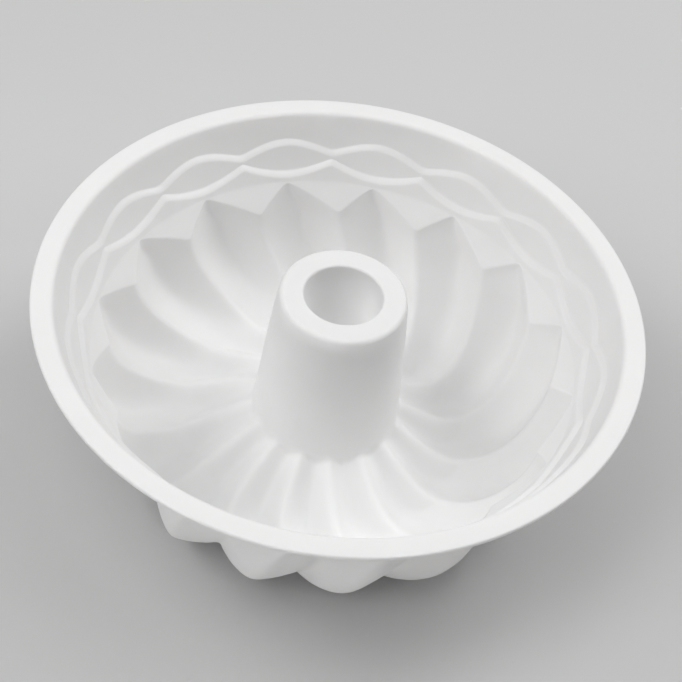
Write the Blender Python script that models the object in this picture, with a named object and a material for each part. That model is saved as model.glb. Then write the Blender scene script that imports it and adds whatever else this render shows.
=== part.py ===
"""A silicone ring cake mould with sixteen swirled flutes and a steel hoop in its rim.

The mould stands on the small flats under its lobes, open side up. The origin is on the
axis at the height of those flats, with +Z up. Lengths below are in millimetres and
angles in degrees; heights are measured up from the flats.
"""
import math

import bmesh
import bpy
import numpy as np

# Overall form
RIM_RADIUS = 120.0
RIM_HEIGHT = 82.0
WALL = 2.2
FOOT_FLAT = 0.6

# Flat rim
FLANGE_WIDTH = 8.8
FLANGE_THICKNESS = 2.0
FLANGE_EDGE_ROUND = 0.8
RIM_INNER_ROUND = 2.4

# Steel hoop in the bead under the rim
HOOP_WIRE = 2.0
HOOP_CLEARANCE = 0.3
HOOP_COVER = 1.2
HOOP_INSET = 4.8
BEAD_WALL = 1.1
BEAD_START = -130.0
PIN_HOLE = 2.0
PIN_HOLES = 8

# Upper wall, down to the circle on which the flutes begin
LEDGE_RADIUS = 97.5
LEDGE_HEIGHT = 54.6
WALL_BULGE = 0.3

# Two scalloped lines round the upper wall, at each of which it steps in
LINE_STEP = 1.9
LINE_WIDTH = 2.2
UPPER_LINE_HEIGHT = 66.2
UPPER_LINE_RISE = 4.75
UPPER_LINE_SOFTNESS = 0.25
LOWER_LINE_HEIGHT = 58.2
LOWER_LINE_RISE = 5.2

# Flutes: sixteen grooves that start as points on the ledge circle, with ridges between them
FLUTES = 16
CREST_LEAD = 8.05
CORNER_INSET = 7.8
CORNER_DROP = 11.2
CREST_LOW_RADIUS = 60.4
CREST_LOW_HEIGHT = 6.5
CREST_FOOT_HEIGHT = 20.8
CREST_FULLNESS = 1.82
VALLEY_LOW_RADIUS = 57.6
VALLEY_FOOT_HEIGHT = 18.4
VALLEY_FULLNESS = 2.45
SWIRL = 16.9
SWIRL_START = 1.7
SWIRL_EASE = 4.1

# Section across a flute
VALLEY_PLACE = 0.5
VALLEY_SETTLED = 0.08
VALLEY_ROUNDING = 1.0
ROUNDING_SETTLED = 0.5
CREST_SOFTNESS = 0.5

# Central tube, closed by a round dish
TUBE_FOOT_RADIUS = 30.1
TUBE_TOP_RADIUS = 25.3
TUBE_RISE = 3.5
TUBE_BULGE = 0.5
TUBE_EDGE_ROUND = 1.0
DISH_RADIUS = 15.5
DISH_DEPTH = 28.0
DISH_WALL = 2.0
LID_THICKNESS = 2.6
HOLLOW_START = 10.0

# Fineness of the surfaces
FLANK_STEPS = 3
FLUTE_ROWS = (7, 4)
UNDERSIDE_ROWS = (6, 3)
DISH_STEPS = 4
HOOP_SEGMENTS = 48
HOOP_SIDES = 8
CHANNEL_SIDES = 8
BEAD_STEPS = 3
PIN_SIDES = 12

CURVE_SAMPLES = 200
MERGE_WITHIN = 0.02
NEARLY_FLAT = 0.3
SHARP_OVER = 40.0

MM = 0.001
PITCH = 2.0 * math.pi / FLUTES
COLUMNS_PER_FLUTE = 2 * FLANK_STEPS
COLUMNS = FLUTES * COLUMNS_PER_FLUTE
TUBE_TOP = RIM_HEIGHT + TUBE_RISE
RIM_INNER_RADIUS = RIM_RADIUS - FLANGE_WIDTH
HOOP_RADIUS = RIM_RADIUS - HOOP_INSET
CHANNEL_RADIUS = HOOP_WIRE / 2 + HOOP_CLEARANCE
BEAD_RADIUS = CHANNEL_RADIUS + BEAD_WALL
HOOP_HEIGHT = RIM_HEIGHT - HOOP_COVER - CHANNEL_RADIUS


def clear_scene():
    for thing in list(bpy.data.objects):
        bpy.data.objects.remove(thing, do_unlink=True)


def material(name, colour, roughness, metallic):
    made = bpy.data.materials.new(name)
    made.use_nodes = True
    shader = made.node_tree.nodes["Principled BSDF"]
    shader.inputs["Base Color"].default_value = (*colour, 1.0)
    shader.inputs["Roughness"].default_value = roughness
    shader.inputs["Metallic"].default_value = metallic
    return made


def bowl_line(share, top, low, foot, fullness):
    """Radius and height down the wall on a full quarter ellipse, then up to the tube's foot.

    Each of the three ends is a radius and a height, and share 0.5 is the lowest point.
    """
    turn = math.pi * np.minimum(share, 0.5)
    past = np.maximum(2 * share - 1, 0)
    inward = np.where(share < 0.5, np.cos(turn), 0) ** (2 / fullness)
    down = np.sin(turn) ** (2 / fullness)
    radius = low[0] + (top[0] - low[0]) * inward - (low[0] - foot[0]) * past
    height = np.where(share < 0.5, top[1] - (top[1] - low[1]) * down,
                      low[1] + (foot[1] - low[1]) * past ** 2 * (2 - past))
    return radius, height


def crest_line(share):
    """The ridge between two flutes, from the corner under the ledge to the tube."""
    top = (LEDGE_RADIUS - CORNER_INSET, LEDGE_HEIGHT - CORNER_DROP)
    low = (CREST_LOW_RADIUS, CREST_LOW_HEIGHT)
    foot = (TUBE_FOOT_RADIUS, CREST_FOOT_HEIGHT)
    return bowl_line(share, top, low, foot, CREST_FULLNESS)


def valley_line(share):
    """A flute's deepest line, from its point on the ledge circle to the tube."""
    low = (VALLEY_LOW_RADIUS, WALL - FOOT_FLAT)
    foot = (TUBE_FOOT_RADIUS, VALLEY_FOOT_HEIGHT)
    return bowl_line(share, (LEDGE_RADIUS, LEDGE_HEIGHT), low, foot, VALLEY_FULLNESS)


def swirl_angle(share):
    """How far a ridge has turned round the axis: slowly at first, then settling."""
    return math.radians(SWIRL) * (1 - (1 - share ** SWIRL_START) ** SWIRL_EASE)


def valley_place(share):
    """Place of the deepest line as a share of the pitch past the ridge."""
    start = math.radians(CREST_LEAD) / PITCH
    eased = min(share / VALLEY_SETTLED, 1.0)
    return start + (VALLEY_PLACE - start) * eased ** 2 * (3 - 2 * eased)


def flute_depth(away, share):
    """Depth of a flute's section: a sharp V at the ledge that rounds out further down."""
    rounding = max(VALLEY_ROUNDING * min(share / ROUNDING_SETTLED, 1.0) ** 2, 0.001)
    reach = math.sqrt(1 + rounding ** 2) - rounding
    vee = 1 - (np.sqrt(away ** 2 + rounding ** 2) - rounding) / reach
    wave = 0.5 + 0.5 * np.cos(math.pi * away)
    softness = CREST_SOFTNESS * share ** 2
    return (1 - softness) * vee + softness * wave


def ring_row(radius, height, angles):
    """One row of the skin: a point for each column at the given radius and height."""
    radius = np.broadcast_to(radius, angles.shape)
    height = np.broadcast_to(height, angles.shape)
    return np.stack([radius * np.cos(angles), radius * np.sin(angles), height], axis=1)


def wall_angles():
    """Even columns round the rim, three on either side of each flute's start."""
    column = np.arange(COLUMNS)
    return -PITCH * (column - FLANK_STEPS) / COLUMNS_PER_FLUTE


def even_shares(start, end, count):
    """Shares that put so many steps at even distances down the deepest line of a flute."""
    fine = np.linspace(start, end, CURVE_SAMPLES)
    radius, height = valley_line(fine)
    length = np.concatenate([[0.0], np.cumsum(np.hypot(np.diff(radius), np.diff(height)))])
    return np.interp(np.linspace(0.0, length[-1], count + 1), length, fine)


def across_flute():
    """Distance of each column from its flute's deepest line, as a share of the flank."""
    step = np.arange(COLUMNS) % COLUMNS_PER_FLUTE
    return np.abs(step - FLANK_STEPS) / FLANK_STEPS


def flute_angles(share):
    """Angle of each column, fanned out from the deepest line to the ridges."""
    column = np.arange(COLUMNS)
    before = column % COLUMNS_PER_FLUTE <= FLANK_STEPS
    away = across_flute()
    place = valley_place(share)
    past = np.where(before, place * (1 - away), place + (1 - place) * away)
    return math.radians(CREST_LEAD) - swirl_angle(share) - PITCH * (column // COLUMNS_PER_FLUTE + past)


def flute_row(share):
    """One row round the fluted bowl, at a share of the way from the ledge to the tube."""
    crest_radius, crest_height = crest_line(share)
    valley_radius, valley_height = valley_line(share)
    depth = flute_depth(across_flute(), share)
    radius = crest_radius + depth * (valley_radius - crest_radius)
    height = crest_height + depth * (valley_height - crest_height)
    return ring_row(radius, height, flute_angles(share))


def flute_rows(down, up):
    """Rows of the bowl: steps down from the ledge to the lowest circle, and up to the tube."""
    shares = list(even_shares(0.0, 0.5, down)) + list(even_shares(0.5, 1.0, up))[1:]
    return [flute_row(share) for share in shares]


def wall_radius(height, steps):
    """Radius of the slightly bulged upper wall at a height, past so many of its two steps."""
    share = (height - LEDGE_HEIGHT) / (RIM_HEIGHT - LEDGE_HEIGHT)
    straight = LEDGE_RADIUS + share * (RIM_INNER_RADIUS - LEDGE_RADIUS)
    bulged = straight + WALL_BULGE * 4 * share * (1 - share)
    return bulged + LINE_STEP * (2 * (1 - share) - steps)


def scallop_rows(top, steps, angles):
    """Three rows down one scalloped line: its sharp upper edge, middle and rounded foot."""
    rows = []
    for down in (0.0, 0.5, 1.0):
        height = top - down * LINE_WIDTH
        radius = wall_radius(height, steps + 1 - (1 - down) ** 2)
        rows.append(ring_row(radius, height, angles))
    return rows


def upper_wall_rows(angles):
    """The wall between the rim and the ledge, with its chain of pointed lenses."""
    phase = angles / PITCH
    off = np.abs(phase - np.round(phase))
    hump = 1 - (2 * off) ** 2
    wave = 0.5 + 0.5 * np.cos(2 * math.pi * off)
    upper = UPPER_LINE_RISE * ((1 - UPPER_LINE_SOFTNESS) * hump + UPPER_LINE_SOFTNESS * wave)
    lower = LOWER_LINE_RISE * (2 * off) ** 2
    rows = scallop_rows(UPPER_LINE_HEIGHT + upper, 0, angles)
    rows += scallop_rows(LOWER_LINE_HEIGHT + lower, 1, angles)
    rows.append(ring_row(LEDGE_RADIUS, LEDGE_HEIGHT, angles))
    return rows


def corner(radius, height, size, start, end, steps=2):
    """Section points of a rounded corner about its centre, between two directions."""
    turn = np.radians(np.linspace(start, end, steps + 1))
    return [(radius + size * math.cos(a), height + size * math.sin(a)) for a in turn]


def rim_section():
    """Rim profile from the bead's foot on the wall, round the flange, to the inner wall."""
    under = RIM_HEIGHT - FLANGE_THICKNESS
    bead_end = math.degrees(math.asin((under - HOOP_HEIGHT) / BEAD_RADIUS))
    edge = RIM_RADIUS - FLANGE_EDGE_ROUND
    spread = RIM_INNER_RADIUS - LEDGE_RADIUS - 4 * WALL_BULGE - 2 * LINE_STEP
    lean = math.atan2(spread, RIM_HEIGHT - LEDGE_HEIGHT)
    lip = RIM_INNER_RADIUS + RIM_INNER_ROUND * (1 / math.cos(lean) - math.tan(lean))
    points = corner(HOOP_RADIUS, HOOP_HEIGHT, BEAD_RADIUS, BEAD_START, bead_end, BEAD_STEPS)
    points += corner(edge, under + FLANGE_EDGE_ROUND, FLANGE_EDGE_ROUND, -90, 0)
    points += corner(edge, RIM_HEIGHT - FLANGE_EDGE_ROUND, FLANGE_EDGE_ROUND, 0, 90)
    points += corner(lip, RIM_HEIGHT - RIM_INNER_ROUND, RIM_INNER_ROUND, 90, 180 - math.degrees(lean))
    return points


def tube_radius(height):
    """Outer radius of the slightly bulged tube at a height."""
    share = (height - CREST_FOOT_HEIGHT) / (TUBE_TOP - CREST_FOOT_HEIGHT)
    straight = TUBE_FOOT_RADIUS + share * (TUBE_TOP_RADIUS - TUBE_FOOT_RADIUS)
    return straight + TUBE_BULGE * 4 * share * (1 - share)


def dish(wall, start):
    """Profile of the half-round dish from a height down to the axis, moved out by a wall."""
    edge = TUBE_TOP - TUBE_EDGE_ROUND
    depth = DISH_DEPTH - TUBE_EDGE_ROUND + wall
    turn = np.linspace(math.asin((edge - start) / depth), math.pi / 2, DISH_STEPS + 1)
    points = [((DISH_RADIUS + wall) * math.cos(a), edge - depth * math.sin(a)) for a in turn[:-1]]
    return points + [(0.0, edge - depth)]


def tube_outside():
    """Profile up the tube, over its top and down its dish to the axis."""
    middle = (CREST_FOOT_HEIGHT + TUBE_TOP) / 2
    edge = TUBE_TOP - TUBE_EDGE_ROUND
    points = [(tube_radius(middle), middle)]
    points += corner(TUBE_TOP_RADIUS - TUBE_EDGE_ROUND, edge, TUBE_EDGE_ROUND, 0, 90)
    points += corner(DISH_RADIUS + TUBE_EDGE_ROUND, edge, TUBE_EDGE_ROUND, 90, 180)
    return points + dish(0.0, edge)[1:]


def tube_inside():
    """Profile in the tube's hollow, from the axis under the dish and lid down its wall."""
    middle = (CREST_FOOT_HEIGHT + TUBE_TOP) / 2
    lid = TUBE_TOP - LID_THICKNESS
    points = dish(DISH_WALL, lid)[::-1]
    return points + [(tube_radius(lid) - WALL, lid), (tube_radius(middle) - WALL, middle)]


def offset_rows(rows, distance):
    """Rows at an even distance under the given ones, on the side away from the cake."""
    grid = np.array(rows)
    along = grid[1:] - grid[:-1]
    across = np.roll(grid, -1, axis=1) - grid
    normal = np.cross((across[1:] + across[:-1]) / 2, (along + np.roll(along, -1, axis=1)) / 2)
    size = np.linalg.norm(normal, axis=2, keepdims=True)
    normal = normal / np.maximum(size, 1e-9)
    made = np.empty_like(grid)
    shared = np.linalg.norm(along, axis=2) < 1e-6
    for i in range(len(grid)):
        for j in range(COLUMNS):
            first = i - 2 if i > 0 and shared[i - 1, j] else i - 1
            last = i + 1 if i < len(shared) and shared[i, j] else i
            bands = range(max(first, 0), min(last, len(normal) - 1) + 1)
            near = np.array([normal[a, b] for a in bands for b in (j - 1, j)])
            way = np.linalg.pinv(near, rcond=NEARLY_FLAT) @ np.full(len(near), distance)
            made[i, j] = grid[i, j] + way
    return list(made)


def skin(name, rows, closed):
    """Joins rows of columns round the axis into a body, whose section is closed or ends on the axis."""
    shape = bmesh.new()
    grid = [[shape.verts.new([value * MM for value in point]) for point in row] for row in rows]
    for i in range(len(grid) if closed else len(grid) - 1):
        row = grid[i]
        following = grid[(i + 1) % len(grid)]
        for j in range(len(row)):
            k = (j + 1) % len(row)
            shape.faces.new((row[j], row[k], following[k], following[j]))
    bmesh.ops.remove_doubles(shape, verts=shape.verts, dist=MERGE_WITHIN * MM)
    if shape.calc_volume(signed=True) < 0:
        bmesh.ops.reverse_faces(shape, faces=shape.faces)
    mesh = bpy.data.meshes.new(name)
    shape.to_mesh(mesh)
    shape.free()
    thing = bpy.data.objects.new(name, mesh)
    bpy.context.collection.objects.link(thing)
    return thing


def wire_ring(name, wire_radius, sides):
    """A ring of round wire on the hoop's circle."""
    angles = 2 * math.pi * np.arange(HOOP_SEGMENTS) / HOOP_SEGMENTS
    turn = 2 * math.pi * (np.arange(sides) + 0.5) / sides
    reach = HOOP_RADIUS + wire_radius * np.cos(turn)
    level = HOOP_HEIGHT + wire_radius * np.sin(turn)
    rows = [ring_row(radius, height, angles) for radius, height in zip(reach, level)]
    return skin(name, rows, closed=True)


def pin_hole_cutter():
    """Short upright pins from the hoop's channel down through the bead."""
    shape = bmesh.new()
    length = BEAD_RADIUS + BEAD_WALL
    for index in range(PIN_HOLES):
        made = bmesh.ops.create_cone(shape, cap_ends=True, segments=PIN_SIDES, radius1=PIN_HOLE / 2 * MM,
                                     radius2=PIN_HOLE / 2 * MM, depth=length * MM)
        angle = 2 * math.pi * (index + 0.5) / PIN_HOLES
        centre = (HOOP_RADIUS * math.cos(angle), HOOP_RADIUS * math.sin(angle), HOOP_HEIGHT - length / 2)
        bmesh.ops.translate(shape, verts=made["verts"], vec=[value * MM for value in centre])
    mesh = bpy.data.meshes.new("pin_hole_cutter")
    shape.to_mesh(mesh)
    shape.free()
    cutter = bpy.data.objects.new("pin_hole_cutter", mesh)
    bpy.context.collection.objects.link(cutter)
    return cutter


def ground_cutter():
    """A slab below the stand's level, which trims the lobes flat."""
    shape = bmesh.new()
    depth = FOOT_FLAT + WALL
    bmesh.ops.create_cube(shape, size=1.0)
    bmesh.ops.scale(shape, verts=shape.verts, vec=(2 * RIM_RADIUS * MM, 2 * RIM_RADIUS * MM, depth * MM))
    bmesh.ops.translate(shape, verts=shape.verts, vec=(0, 0, -depth / 2 * MM))
    mesh = bpy.data.meshes.new("ground_cutter")
    shape.to_mesh(mesh)
    shape.free()
    cutter = bpy.data.objects.new("ground_cutter", mesh)
    bpy.context.collection.objects.link(cutter)
    return cutter


def cut(thing, cutter):
    cutter.hide_render = True
    cutter.display_type = "WIRE"
    boolean = thing.modifiers.new(cutter.name, "BOOLEAN")
    boolean.operation = "DIFFERENCE"
    boolean.solver = "EXACT"
    boolean.object = cutter


def shade_round(thing):
    thing.data.shade_smooth()
    thing.data.set_sharp_from_angle(angle=math.radians(SHARP_OVER))


def make_mould_body():
    """The one-piece silicone moulding."""
    rim_angles = wall_angles()
    tube_angles = flute_angles(1.0)
    halfway = (LEDGE_HEIGHT + RIM_HEIGHT) / 2
    plain_wall = [ring_row(wall_radius(halfway, 0), halfway, rim_angles),
                  ring_row(LEDGE_RADIUS, LEDGE_HEIGHT, rim_angles)]
    above_foot = CREST_FOOT_HEIGHT + HOLLOW_START
    tube_start = ring_row(tube_radius(above_foot), above_foot, tube_angles)
    underside = offset_rows(plain_wall + flute_rows(*UNDERSIDE_ROWS) + [tube_start], WALL)
    rows = [ring_row(radius, height, tube_angles) for radius, height in tube_inside()]
    rows += underside[::-1][1:]
    rows += [ring_row(radius, height, rim_angles) for radius, height in rim_section()]
    rows += upper_wall_rows(rim_angles)
    rows += flute_rows(*FLUTE_ROWS)
    rows += [ring_row(radius, height, tube_angles) for radius, height in tube_outside()]
    body = skin("mould_body", rows, closed=False)
    shade_round(body)
    body.data.materials.append(material("white_silicone", (0.86, 0.86, 0.85), 0.55, 0.0))
    cut(body, wire_ring("hoop_channel_cutter", CHANNEL_RADIUS, CHANNEL_SIDES))
    cut(body, pin_hole_cutter())
    cut(body, ground_cutter())
    return body


def make_rim_hoop():
    """The steel wire hoop that keeps the rim round."""
    hoop = wire_ring("rim_hoop", HOOP_WIRE / 2, HOOP_SIDES)
    shade_round(hoop)
    hoop.data.materials.append(material("steel_wire", (0.62, 0.62, 0.63), 0.32, 1.0))
    return hoop


def build():
    clear_scene()
    make_mould_body()
    make_rim_hoop()


build()
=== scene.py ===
"""The looks of a white silicone ring cake mould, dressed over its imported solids.

The moulding's fine surface follows the same lines as the solid body, in millimetres and
degrees, and replaces it. The wire hoop in the rim keeps its solid and gets its metal.
"""
import math

import bmesh
import bpy
import numpy as np
from mathutils import Matrix, Vector


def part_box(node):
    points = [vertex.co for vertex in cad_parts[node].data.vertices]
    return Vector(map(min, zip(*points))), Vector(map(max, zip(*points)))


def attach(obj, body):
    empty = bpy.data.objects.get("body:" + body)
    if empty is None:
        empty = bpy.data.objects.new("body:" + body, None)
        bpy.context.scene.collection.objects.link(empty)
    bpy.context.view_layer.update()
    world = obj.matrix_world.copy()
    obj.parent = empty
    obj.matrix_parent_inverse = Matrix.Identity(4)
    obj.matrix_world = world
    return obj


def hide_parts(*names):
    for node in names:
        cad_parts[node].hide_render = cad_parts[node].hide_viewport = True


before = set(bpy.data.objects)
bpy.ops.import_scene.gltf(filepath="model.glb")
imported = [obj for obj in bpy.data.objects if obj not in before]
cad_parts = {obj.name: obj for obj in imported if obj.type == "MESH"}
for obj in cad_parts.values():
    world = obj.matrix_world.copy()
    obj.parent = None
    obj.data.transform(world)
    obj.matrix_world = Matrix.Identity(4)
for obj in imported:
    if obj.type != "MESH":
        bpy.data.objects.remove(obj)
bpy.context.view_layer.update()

MM = 0.001

# Sizes read from the solid body
BODY_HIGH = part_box("mould_body")[1]
RIM_RADIUS = BODY_HIGH.x / MM
TUBE_TOP = BODY_HIGH.z / MM

# Wall, rim and bead
TUBE_RISE = 3.5
WALL = 2.2
FOOT_FLAT = 0.6
FLANGE_WIDTH = 8.8
FLANGE_THICKNESS = 2.0
FLANGE_EDGE_ROUND = 0.8
RIM_INNER_ROUND = 2.4
HOOP_WIRE = 2.0
HOOP_CLEARANCE = 0.3
HOOP_COVER = 1.2
HOOP_INSET = 4.8
BEAD_WALL = 1.1
BEAD_START = -130.0
RIM_HEIGHT = TUBE_TOP - TUBE_RISE
RIM_INNER_RADIUS = RIM_RADIUS - FLANGE_WIDTH
HOOP_RADIUS = RIM_RADIUS - HOOP_INSET
CHANNEL_RADIUS = HOOP_WIRE / 2 + HOOP_CLEARANCE
BEAD_RADIUS = CHANNEL_RADIUS + BEAD_WALL
HOOP_HEIGHT = RIM_HEIGHT - HOOP_COVER - CHANNEL_RADIUS

# Upper wall, which steps in at its two scalloped lines
LEDGE_RADIUS = 97.5
LEDGE_HEIGHT = 54.6
WALL_BULGE = 0.3
LINE_STEP = 1.9
LINE_WIDTH = 2.2
UPPER_LINE_HEIGHT = 66.2
UPPER_LINE_RISE = 4.75
UPPER_LINE_SOFTNESS = 0.25
DIP_SOFTNESS = 0.08
LOWER_LINE_HEIGHT = 58.2
LOWER_LINE_RISE = 5.2
CUSP_SOFTNESS = 0.03

# Flutes
FLUTES = 16
PITCH = 2 * math.pi / FLUTES
CREST_LEAD = 8.05
CORNER_INSET = 7.8
CORNER_DROP = 11.2
CREST_LOW_RADIUS = 60.4
CREST_LOW_HEIGHT = 6.5
CREST_FOOT_HEIGHT = 20.8
CREST_FULLNESS = 1.82
VALLEY_LOW_RADIUS = 57.6
VALLEY_FOOT_HEIGHT = 18.4
VALLEY_FULLNESS = 2.45
SWIRL = 16.9
SWIRL_START = 1.7
SWIRL_EASE = 4.1
VALLEY_PLACE = 0.5
VALLEY_SETTLED = 0.08
CREST_SOFTNESS = 0.5

# Rounding of a flute's deepest line and of its ridges, as shares of the flank, the share of the
# way down at which each has reached its full size, and the rounding of a crease that is sharp
VALLEY_ROUNDING = 1.0
ROUNDING_SETTLED = 0.5
CREST_ROUNDING = 0.2
CREST_SETTLED = 0.6
SHARPEST = 0.001

# Central tube, closed by a round dish
TUBE_FOOT_RADIUS = 30.1
TUBE_TOP_RADIUS = 25.3
TUBE_BULGE = 0.5
TUBE_EDGE_ROUND = 1.0
TUBE_OUTER_ROUND = 2.0
DISH_RADIUS = 15.5
DISH_DEPTH = 28.0
DISH_WALL = 2.0
LID_THICKNESS = 2.6
HOLLOW_START = 10.0

# Fineness: columns across each flank of a flute, rows along each stretch of the section
COARSE_STEPS = 3
REFINE = 4
FLANK_STEPS = COARSE_STEPS * REFINE
WALL_ROWS = (24, 12, 16, 12, 10)
LEDGE_ROWS = 10
FLUTE_ROWS = (64, 30)
UNDERSIDE_ROWS = (6, 3)
UNDERSIDE_REFINE = 6
TUBE_ROWS = 26
HOLLOW_ROWS = 12
DISH_STEPS = 24
ROUND_STEPS = 6
BEAD_STEPS = 14
LENGTH_SAMPLES = 400

# Longest steps along the rim's and the tube's section, and the distance at which points merge
RIM_STEP = 1.2
TUBE_STEP = 2.0
MERGE_DISTANCE = 0.02

# Softening of the creases: passes, and rows that it reaches before the ledge and up the tube
SOFT_PASSES = 2
SOFT_BEFORE = 3
SOFT_BEYOND = 6

# Limits in the underside's offset: steps and areas that count as none, and how far faces must differ
SAME_POINT = 1e-6
NO_AREA = 1e-9
FLAT_ENOUGH = 0.3

# The photograph's camera, seen from the centre of the rim's circle
IMAGE_SIZE = 682
SENSOR = 36.0
FOCAL_PIXELS = 1636.03
CAMERA_DISTANCE = 637.3
CAMERA_ELEVATION = 46.363
CAMERA_AZIMUTH = 2.794
CAMERA_ROLL = 9.600
CAMERA_PAN = -0.0643
CAMERA_TILT = -1.410
CAMERA_REACH = (0.01, 10.0)

# Floor: its size in metres, and its gap under the mould
FLOOR_SIZE = 6.0
FLOOR_GAP = 0.2

# Soft studio lights round and above the mould: azimuth and elevation in degrees, and power in
# watts. Their size and distance are in metres
LIGHTS = ((45, 45, 6.5), (180, 45, 4.4), (225, 45, 3.4), (210, 70, 3.3), (0, 45, 2.1), (60, 80, 2.2))
LIGHT_SIZE = 0.6
LIGHT_DISTANCE = 1.4
AMBIENT = 0.16

# A weak, narrow light in front, low enough to reach the lobes under the rim
LOW_FILL = (266, 4, 0.0195)
LOW_FILL_SIZE = 0.1
LOW_FILL_SPREAD = 14


def bowl_line(share, top, low, foot, fullness):
    """Radius and height down the wall on a full quarter ellipse, then up to the tube's foot."""
    turn = math.pi * np.minimum(share, 0.5)
    past = np.maximum(2 * share - 1, 0)
    inward = np.where(share < 0.5, np.cos(turn), 0) ** (2 / fullness)
    down = np.sin(turn) ** (2 / fullness)
    radius = low[0] + (top[0] - low[0]) * inward - (low[0] - foot[0]) * past
    height = np.where(share < 0.5, top[1] - (top[1] - low[1]) * down,
                      low[1] + (foot[1] - low[1]) * past ** 2 * (2 - past))
    return radius, height


def crest_line(share):
    """The ridge between two flutes, from the corner under the ledge to the tube."""
    top = (LEDGE_RADIUS - CORNER_INSET, LEDGE_HEIGHT - CORNER_DROP)
    low = (CREST_LOW_RADIUS, CREST_LOW_HEIGHT)
    foot = (TUBE_FOOT_RADIUS, CREST_FOOT_HEIGHT)
    return bowl_line(share, top, low, foot, CREST_FULLNESS)


def valley_line(share):
    """A flute's deepest line, from its point on the ledge circle to the tube."""
    low = (VALLEY_LOW_RADIUS, WALL - FOOT_FLAT)
    foot = (TUBE_FOOT_RADIUS, VALLEY_FOOT_HEIGHT)
    return bowl_line(share, (LEDGE_RADIUS, LEDGE_HEIGHT), low, foot, VALLEY_FULLNESS)


def swirl_angle(share):
    """How far a ridge has turned round the axis: slowly at first, then settling."""
    return math.radians(SWIRL) * (1 - (1 - share ** SWIRL_START) ** SWIRL_EASE)


def valley_place(share):
    """Place of the deepest line as a share of the pitch past the ridge."""
    start = math.radians(CREST_LEAD) / PITCH
    eased = min(share / VALLEY_SETTLED, 1.0)
    return start + (VALLEY_PLACE - start) * eased ** 2 * (3 - 2 * eased)


def rounded(away, size):
    """Distance from a crease as a share of the flank, with the crease's point rounded off."""
    return (np.sqrt(away ** 2 + size ** 2) - size) / (math.sqrt(1 + size ** 2) - size)


def flute_depth(away, share):
    """Depth of a flute's section: a sharp V at the ledge that rounds out further down."""
    valley = max(VALLEY_ROUNDING * min(share / ROUNDING_SETTLED, 1.0) ** 2, SHARPEST)
    ridge = max(CREST_ROUNDING * min(share / CREST_SETTLED, 1.0) ** 3, SHARPEST)
    away = 1 - rounded(1 - away, ridge)
    vee = 1 - rounded(away, valley)
    wave = 0.5 + 0.5 * np.cos(math.pi * away)
    softness = CREST_SOFTNESS * share ** 2
    return (1 - softness) * vee + softness * wave


def ring_row(radius, height, angles):
    """One row of the skin: a point for each column at the given radius and height."""
    radius = np.broadcast_to(radius, angles.shape)
    height = np.broadcast_to(height, angles.shape)
    return np.stack([radius * np.cos(angles), radius * np.sin(angles), height], axis=1)


def wall_angles(flank):
    """Even columns round the rim, with as many on either side of each flute's start."""
    column = np.arange(FLUTES * 2 * flank)
    return -PITCH * (column - flank) / (2 * flank)


def even_shares(start, end, count):
    """Shares that put so many steps at even distances down the deepest line of a flute."""
    fine = np.linspace(start, end, LENGTH_SAMPLES)
    radius, height = valley_line(fine)
    length = np.concatenate([[0.0], np.cumsum(np.hypot(np.diff(radius), np.diff(height)))])
    return np.interp(np.linspace(0.0, length[-1], count + 1), length, fine)


def across_flute(flank):
    """Distance of each column from its flute's deepest line, as a share of the flank."""
    step = np.arange(FLUTES * 2 * flank) % (2 * flank)
    return np.abs(step - flank) / flank


def flute_angles(share, flank):
    """Angle of each column, fanned out from the deepest line to the ridges."""
    column = np.arange(FLUTES * 2 * flank)
    before = column % (2 * flank) <= flank
    away = across_flute(flank)
    place = valley_place(share)
    past = np.where(before, place * (1 - away), place + (1 - place) * away)
    return math.radians(CREST_LEAD) - swirl_angle(share) - PITCH * (column // (2 * flank) + past)


def flute_row(share, flank):
    """One row round the fluted bowl, at a share of the way from the ledge to the tube."""
    crest_radius, crest_height = crest_line(share)
    valley_radius, valley_height = valley_line(share)
    depth = flute_depth(across_flute(flank), share)
    radius = crest_radius + depth * (valley_radius - crest_radius)
    height = crest_height + depth * (valley_height - crest_height)
    return ring_row(radius, height, flute_angles(share, flank))


def flute_rows(down, up, flank):
    """Rows of the bowl: steps down from the ledge to the lowest circle, and up to the tube."""
    shares = list(even_shares(0.0, 0.5, down)) + list(even_shares(0.5, 1.0, up))[1:]
    return [flute_row(share, flank) for share in shares]


def wall_radius(height, steps):
    """Radius of the slightly bulged upper wall at a height, past so many of its two steps."""
    share = (height - LEDGE_HEIGHT) / (RIM_HEIGHT - LEDGE_HEIGHT)
    straight = LEDGE_RADIUS + share * (RIM_INNER_RADIUS - LEDGE_RADIUS)
    bulged = straight + WALL_BULGE * 4 * share * (1 - share)
    return bulged + LINE_STEP * (2 * (1 - share) - steps)


def eased_end(off, softness):
    """A share that levels off softly just before it reaches 1."""
    return 1 + softness - np.sqrt((1 - off) ** 2 + softness ** 2)


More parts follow.
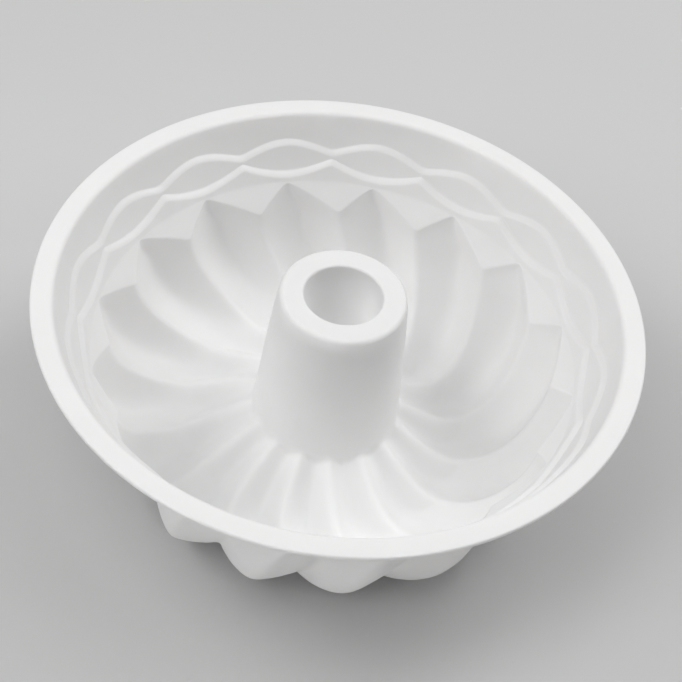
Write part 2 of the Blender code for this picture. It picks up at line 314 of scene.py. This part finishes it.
def upper_wall_rows(angles):
    """The wall between the rim and the ledge, with its chain of pointed lenses."""
    phase = angles / PITCH
    off = 2 * np.abs(phase - np.round(phase))
    hump = 1 - eased_end(off, DIP_SOFTNESS) ** 2
    wave = 0.5 + 0.5 * np.cos(math.pi * off)
    rise = (1 - UPPER_LINE_SOFTNESS) * hump + UPPER_LINE_SOFTNESS * wave
    upper = UPPER_LINE_HEIGHT + UPPER_LINE_RISE * rise
    lower = LOWER_LINE_HEIGHT + LOWER_LINE_RISE * eased_end(off, CUSP_SOFTNESS) ** 2
    stops = [RIM_HEIGHT - RIM_INNER_ROUND, upper, upper - LINE_WIDTH, lower, lower - LINE_WIDTH, LEDGE_HEIGHT]
    rows = []
    for stretch, count in enumerate(WALL_ROWS):
        for share in np.linspace(0, 1, count + 1)[1:]:
            height = stops[stretch] + (stops[stretch + 1] - stops[stretch]) * share
            on_line = stretch % 2 == 1
            steps = stretch // 2 + (1 - (1 - share) ** 2 if on_line else 0)
            rows.append(ring_row(wall_radius(height, steps), height, angles))
    return rows


def ledge_rows(circle, zigzag):
    """Straight facets between the ledge circle and the zigzag where the flutes begin."""
    return [circle + (zigzag - circle) * step / LEDGE_ROWS for step in range(1, LEDGE_ROWS)]


def corner(radius, height, size, start, end, steps=ROUND_STEPS):
    """Section points of a rounded corner about its centre, between two directions."""
    turn = np.radians(np.linspace(start, end, steps + 1))
    return [(radius + size * math.cos(a), height + size * math.sin(a)) for a in turn]


def filled(points, longest):
    """The section with extra points, so that no step along it is longer than asked."""
    made = [points[0]]
    for (r0, z0), (r1, z1) in zip(points, points[1:]):
        steps = max(1, math.ceil(math.hypot(r1 - r0, z1 - z0) / longest))
        made += [(r0 + (r1 - r0) * k / steps, z0 + (z1 - z0) * k / steps) for k in range(1, steps + 1)]
    return made


def rim_section():
    """Rim profile from the bead's foot on the wall, round the flange, to the inner wall."""
    under = RIM_HEIGHT - FLANGE_THICKNESS
    bead_end = math.degrees(math.asin((under - HOOP_HEIGHT) / BEAD_RADIUS))
    edge = RIM_RADIUS - FLANGE_EDGE_ROUND
    spread = RIM_INNER_RADIUS - LEDGE_RADIUS - 4 * WALL_BULGE - 2 * LINE_STEP
    lean = math.atan2(spread, RIM_HEIGHT - LEDGE_HEIGHT)
    lip = RIM_INNER_RADIUS + RIM_INNER_ROUND * (1 / math.cos(lean) - math.tan(lean))
    points = corner(HOOP_RADIUS, HOOP_HEIGHT, BEAD_RADIUS, BEAD_START, bead_end, BEAD_STEPS)
    points += corner(edge, under + FLANGE_EDGE_ROUND, FLANGE_EDGE_ROUND, -90, 0)
    points += corner(edge, RIM_HEIGHT - FLANGE_EDGE_ROUND, FLANGE_EDGE_ROUND, 0, 90)
    points += corner(lip, RIM_HEIGHT - RIM_INNER_ROUND, RIM_INNER_ROUND, 90, 180 - math.degrees(lean))
    return filled(points, RIM_STEP)


def tube_radius(height):
    """Outer radius of the slightly bulged tube at a height."""
    share = (height - CREST_FOOT_HEIGHT) / (TUBE_TOP - CREST_FOOT_HEIGHT)
    straight = TUBE_FOOT_RADIUS + share * (TUBE_TOP_RADIUS - TUBE_FOOT_RADIUS)
    return straight + TUBE_BULGE * 4 * share * (1 - share)


def dish(wall, start):
    """Profile of the half-round dish from a height down to the axis, moved out by a wall."""
    edge = TUBE_TOP - TUBE_EDGE_ROUND
    depth = DISH_DEPTH - TUBE_EDGE_ROUND + wall
    turn = np.linspace(math.asin((edge - start) / depth), math.pi / 2, DISH_STEPS + 1)
    points = [((DISH_RADIUS + wall) * math.cos(a), edge - depth * math.sin(a)) for a in turn[:-1]]
    return points + [(0.0, edge - depth)]


def tube_outside():
    """Profile over the tube's top and down its dish to the axis."""
    edge = TUBE_TOP - TUBE_EDGE_ROUND
    outer = TUBE_OUTER_ROUND
    points = corner(TUBE_TOP_RADIUS - outer, TUBE_TOP - outer, outer, 0, 90)
    points += corner(DISH_RADIUS + TUBE_EDGE_ROUND, edge, TUBE_EDGE_ROUND, 90, 180)
    return filled(points, TUBE_STEP) + dish(0.0, edge)[1:]


def tube_inside():
    """Profile in the tube's hollow, from the axis under the dish and lid down its wall."""
    lid = TUBE_TOP - LID_THICKNESS
    points = dish(DISH_WALL, lid)[::-1] + [(tube_radius(lid) - WALL, lid)]
    end = CREST_FOOT_HEIGHT + HOLLOW_START
    for height in np.linspace(lid, end, HOLLOW_ROWS)[1:-1]:
        points.append((tube_radius(height) - WALL, height))
    return filled(points, TUBE_STEP)


def offset_rows(rows, distance):
    """Rows at an even distance under the given ones, on the side away from the cake."""
    grid = np.array(rows)
    along = grid[1:] - grid[:-1]
    across = np.roll(grid, -1, axis=1) - grid
    normal = np.cross((across[1:] + across[:-1]) / 2, (along + np.roll(along, -1, axis=1)) / 2)
    size = np.linalg.norm(normal, axis=2, keepdims=True)
    normal = normal / np.maximum(size, NO_AREA)
    made = np.empty_like(grid)
    shared = np.linalg.norm(along, axis=2) < SAME_POINT
    for i in range(len(grid)):
        for j in range(grid.shape[1]):
            first = i - 2 if i > 0 and shared[i - 1, j] else i - 1
            last = i + 1 if i < len(shared) and shared[i, j] else i
            bands = range(max(first, 0), min(last, len(normal) - 1) + 1)
            near = np.array([normal[a, b] for a in bands for b in (j - 1, j)])
            way = np.linalg.pinv(near, rcond=FLAT_ENOUGH) @ np.full(len(near), distance)
            made[i, j] = grid[i, j] + way
    return made


def between(before, start, end, after, share):
    """A smooth curve through four points in a row, read between the middle two."""
    lead = (end - before) / 2
    trail = (after - start) / 2
    span = end - start
    bend = (lead - span) * (1 - share) + (span - trail) * share
    return start + span * share + share * (1 - share) * bend


def finer_columns(grid, times):
    """Adds columns between the columns of a ring of rows, on smooth curves."""
    before = np.roll(grid, 1, axis=1)
    after = np.roll(grid, -1, axis=1)
    beyond = np.roll(grid, -2, axis=1)
    steps = [between(before, grid, after, beyond, k / times) for k in range(times)]
    return np.stack(steps, axis=2).reshape(len(grid), -1, 3)


def finer_rows(grid, times):
    """Adds rows between the rows, on smooth curves."""
    padded = np.concatenate([grid[:1], grid, grid[-1:]])
    steps = [between(padded[:-3], padded[1:-2], padded[2:-1], padded[3:], k / times) for k in range(times)]
    fine = np.stack(steps, axis=1).reshape(-1, grid.shape[1], 3)
    return np.concatenate([fine, grid[-1:]])


def softened(grid, passes, first, last):
    """Rounds the creases of the rows between two places by averaging each point's neighbours."""
    grid = grid.copy()
    for _ in range(passes):
        around = np.roll(grid, 1, axis=1) + np.roll(grid, -1, axis=1)
        inner = (grid[first - 1:last - 1] + grid[first + 1:last + 1] + around[first:last]) / 4
        grid[first:last] = 0.5 * grid[first:last] + 0.5 * inner
    return grid


def moulding_rows():
    """All rows of the moulding's section, from the axis under the dish to the axis on top of it."""
    angles = wall_angles(FLANK_STEPS)
    tube_angles = flute_angles(1.0, FLANK_STEPS)
    rim = [ring_row(radius, height, angles) for radius, height in rim_section()]
    wall = upper_wall_rows(angles)
    bowl = flute_rows(*FLUTE_ROWS, FLANK_STEPS)
    ledge = ledge_rows(wall[-1], bowl[0])
    heights = np.linspace(CREST_FOOT_HEIGHT, TUBE_TOP - TUBE_OUTER_ROUND, TUBE_ROWS)[1:-1]
    tube = [ring_row(tube_radius(height), height, tube_angles) for height in heights]
    top = [ring_row(radius, height, tube_angles) for radius, height in tube_outside()]
    cake_side = np.array(rim + wall + ledge + bowl + tube + top)
    ledge_start = len(rim) + len(wall)
    bowl_end = ledge_start + len(ledge) + len(bowl)
    cake_side = softened(cake_side, SOFT_PASSES, ledge_start - SOFT_BEFORE, bowl_end + SOFT_BEYOND)
    coarse_angles = wall_angles(COARSE_STEPS)
    halfway = (LEDGE_HEIGHT + RIM_HEIGHT) / 2
    plain_wall = [ring_row(wall_radius(halfway, 0), halfway, coarse_angles),
                  ring_row(LEDGE_RADIUS, LEDGE_HEIGHT, coarse_angles)]
    above_foot = CREST_FOOT_HEIGHT + HOLLOW_START
    tube_start = ring_row(tube_radius(above_foot), above_foot, flute_angles(1.0, COARSE_STEPS))
    under = offset_rows(plain_wall + flute_rows(*UNDERSIDE_ROWS, COARSE_STEPS) + [tube_start], WALL)
    under = finer_rows(finer_columns(under, REFINE), UNDERSIDE_REFINE)
    under[:, :, 2] = np.maximum(under[:, :, 2], 0.0)
    hollow = [ring_row(radius, height, tube_angles) for radius, height in tube_inside()]
    return hollow + list(under[::-1]) + list(cake_side)


def skin(name, rows):
    """A mesh object that joins the rows round the axis, from the first row to the last."""
    shape = bmesh.new()
    grid = [[shape.verts.new(point * MM) for point in row] for row in rows]
    for row, following in zip(grid, grid[1:]):
        for j in range(len(row)):
            k = (j + 1) % len(row)
            shape.faces.new((row[j], row[k], following[k], following[j]))
    bmesh.ops.remove_doubles(shape, verts=shape.verts, dist=MERGE_DISTANCE * MM)
    if shape.calc_volume(signed=True) < 0:
        bmesh.ops.reverse_faces(shape, faces=shape.faces)
    mesh = bpy.data.meshes.new(name)
    shape.to_mesh(mesh)
    shape.free()
    mesh.shade_smooth()
    thing = bpy.data.objects.new(name, mesh)
    bpy.context.scene.collection.objects.link(thing)
    return thing


def node(tree, kind, **inputs):
    """Adds a shader node and sets the named input sockets."""
    made = tree.nodes.new(kind)
    for name, value in inputs.items():
        made.inputs[name.replace("_", " ")].default_value = value
    return made


def mottled(name, low, high, **noise):
    """A material whose colour drifts between two close tones, and its parts."""
    made = bpy.data.materials.new(name)
    made.use_nodes = True
    tree = made.node_tree
    shader = tree.nodes["Principled BSDF"]
    place = node(tree, "ShaderNodeTexCoord")
    cloud = node(tree, "ShaderNodeTexNoise", **noise)
    tone = node(tree, "ShaderNodeMix")
    tone.data_type = "RGBA"
    tone.inputs["A"].default_value = (*low, 1)
    tone.inputs["B"].default_value = (*high, 1)
    tree.links.new(place.outputs["Object"], cloud.inputs["Vector"])
    tree.links.new(cloud.outputs["Fac"], tone.inputs["Factor"])
    tree.links.new(tone.outputs["Result"], shader.inputs["Base Color"])
    return made, tree, shader, place, cloud


def vary_roughness(tree, shader, cloud, smooth, matt):
    """Lets the pattern of the tones drive the roughness too."""
    gloss = node(tree, "ShaderNodeMapRange", To_Min=smooth, To_Max=matt)
    tree.links.new(cloud.outputs["Fac"], gloss.inputs["Value"])
    tree.links.new(gloss.outputs["Result"], shader.inputs["Roughness"])


def silicone():
    """Matt white silicone: light spreads a little inside it, over a fine moulded grain."""
    made, tree, shader, place, cloud = mottled(
        "white_silicone_skin", (0.813, 0.81, 0.808), (0.853, 0.85, 0.848),
        Scale=45.0, Detail=3.0, Roughness=0.55)
    vary_roughness(tree, shader, cloud, 0.42, 0.56)
    shader.inputs["Subsurface Weight"].default_value = 0.35
    shader.inputs["Subsurface Radius"].default_value = (1.0, 0.95, 0.9)
    shader.inputs["Subsurface Scale"].default_value = 0.004
    shader.inputs["Specular IOR Level"].default_value = 0.35
    shader.inputs["IOR"].default_value = 1.41
    grain = node(tree, "ShaderNodeTexNoise", Scale=1300.0, Detail=3.0, Roughness=0.6)
    bump = node(tree, "ShaderNodeBump", Strength=0.2, Distance=0.0001)
    tree.links.new(place.outputs["Object"], grain.inputs["Vector"])
    tree.links.new(grain.outputs["Fac"], bump.inputs["Height"])
    tree.links.new(bump.outputs["Normal"], shader.inputs["Normal"])
    return made


def drawn_steel():
    """Bright drawn wire with fine marks."""
    made, tree, shader, _, marks = mottled(
        "drawn_steel", (0.55, 0.55, 0.56), (0.68, 0.68, 0.69), Scale=900.0, Detail=3.0)
    vary_roughness(tree, shader, marks, 0.22, 0.38)
    shader.inputs["Metallic"].default_value = 1.0
    return made


def pale_floor():
    """The plain pale floor's material."""
    made, _, shader, _, _ = mottled(
        "pale_floor", (0.60, 0.60, 0.60), (0.62, 0.62, 0.62), Scale=6.0, Detail=2.0)
    shader.inputs["Roughness"].default_value = 0.8
    shader.inputs["Specular IOR Level"].default_value = 0.1
    return made


def make_moulding():
    """The silicone moulding's fine surface, in place of its solid."""
    body = skin("silicone_moulding", moulding_rows())
    body.data.materials.append(silicone())
    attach(body, "root")
    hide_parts("mould_body")


def dress_hoop():
    """The wire hoop keeps its solid and gets its metal."""
    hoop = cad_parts["rim_hoop"]
    hoop.data.materials.clear()
    hoop.data.materials.append(drawn_steel())


def make_floor():
    """A plain pale floor just under the mould."""
    bpy.ops.mesh.primitive_plane_add(size=FLOOR_SIZE, location=(0, 0, -FLOOR_GAP * MM))
    floor = bpy.context.object
    floor.name = "floor"
    floor.data.materials.append(pale_floor())


def camera_axes():
    """Place and axes of the photograph's camera: right, up and forward, in the mould's frame."""
    elevation, roll = math.radians(CAMERA_ELEVATION), math.radians(CAMERA_ROLL)
    pan, tilt = math.radians(CAMERA_PAN), math.radians(CAMERA_TILT)
    place = CAMERA_DISTANCE * Vector((0, -math.cos(elevation), math.sin(elevation)))
    forward = -place.normalized()
    right = Vector((1, 0, 0))
    up = right.cross(forward)
    rolled_right = right * math.cos(roll) + up * math.sin(roll)
    rolled_up = up * math.cos(roll) - right * math.sin(roll)
    panned_right = rolled_right * math.cos(pan) - forward * math.sin(pan)
    panned_forward = rolled_right * math.sin(pan) + forward * math.cos(pan)
    tilted_up = rolled_up * math.cos(tilt) - panned_forward * math.sin(tilt)
    tilted_forward = panned_forward * math.cos(tilt) + rolled_up * math.sin(tilt)
    turn = Matrix.Rotation(math.radians(CAMERA_AZIMUTH), 3, "Z")
    return [turn @ axis for axis in (place, panned_right, tilted_up, tilted_forward)]


def make_camera():
    """The photograph's camera, set out from the centre of the rim's circle."""
    place, right, up, forward = camera_axes()
    data = bpy.data.cameras.new("camera")
    data.sensor_width = SENSOR
    data.lens = FOCAL_PIXELS / IMAGE_SIZE * SENSOR
    data.clip_start, data.clip_end = CAMERA_REACH
    camera = bpy.data.objects.new("camera", data)
    bpy.context.scene.collection.objects.link(camera)
    turn = Matrix((right, up, -forward)).transposed()
    place = (place + Vector((0, 0, RIM_HEIGHT))) * MM
    camera.matrix_world = Matrix.Translation(place) @ turn.to_4x4()
    bpy.context.scene.camera = camera


def studio_light(azimuth, elevation, power, size, spread=180):
    """A square soft light that faces the mould."""
    data = bpy.data.lights.new("studio_light", "AREA")
    data.size = size
    data.spread = math.radians(spread)
    data.energy = power
    light = bpy.data.objects.new("studio_light", data)
    light.visible_camera = False
    bpy.context.scene.collection.objects.link(light)
    turn, rise = math.radians(azimuth), math.radians(elevation)
    way = Vector((math.cos(rise) * math.cos(turn), math.cos(rise) * math.sin(turn), math.sin(rise)))
    light.location = LIGHT_DISTANCE * way
    light.rotation_euler = way.to_track_quat("Z", "Y").to_euler()


def make_lights():
    """Soft lights, a little light from all round, and plain display of the tones."""
    world = bpy.data.worlds.new("studio")
    world.use_nodes = True
    bpy.context.scene.world = world
    back = world.node_tree.nodes["Background"]
    back.inputs["Color"].default_value = (1, 1, 1, 1)
    back.inputs["Strength"].default_value = AMBIENT
    for azimuth, elevation, power in LIGHTS:
        studio_light(azimuth, elevation, power, LIGHT_SIZE)
    studio_light(*LOW_FILL, LOW_FILL_SIZE, LOW_FILL_SPREAD)
    bpy.context.scene.view_settings.view_transform = "Standard"


make_moulding()
dress_hoop()
make_floor()
make_camera()
make_lights()
